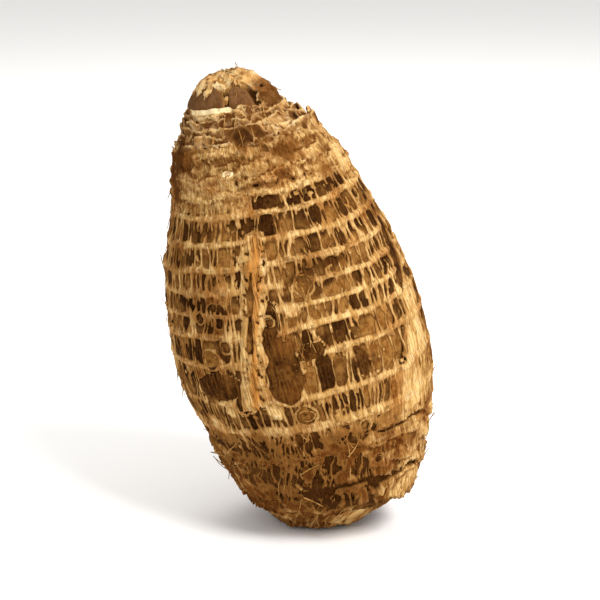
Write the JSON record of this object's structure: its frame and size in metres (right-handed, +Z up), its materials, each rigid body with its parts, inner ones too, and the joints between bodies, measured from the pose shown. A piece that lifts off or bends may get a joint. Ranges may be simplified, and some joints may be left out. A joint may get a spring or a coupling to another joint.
{
  "type": "taro root",
  "caption": "Whole taro corm with fibrous ringed bark, standing on its flattened root end and leaning slightly, with the stump of its shoot on top.",
  "frame": {"origin": "centre of the flat face on the root end that the corm rests on", "axes": "+Z up from the root end to the shoot end, front faces -Y, and the corm leans towards -X"},
  "size_m": [0.1021, 0.0943, 0.1756],
  "materials": {
    "bark_skin": "dry, matt brown skin between the bark fibres",
    "bark_fibre": "dry pale straw-coloured bark fibres and leaf-scar rings",
    "shoot_stump": "torn, dry, papery leaf bases round the shoot",
    "root_hair": "thin dry root hairs"
  },
  "bodies": {
    "root": {"taro_corm": "bark_skin"}
  },
  "joints": []
}
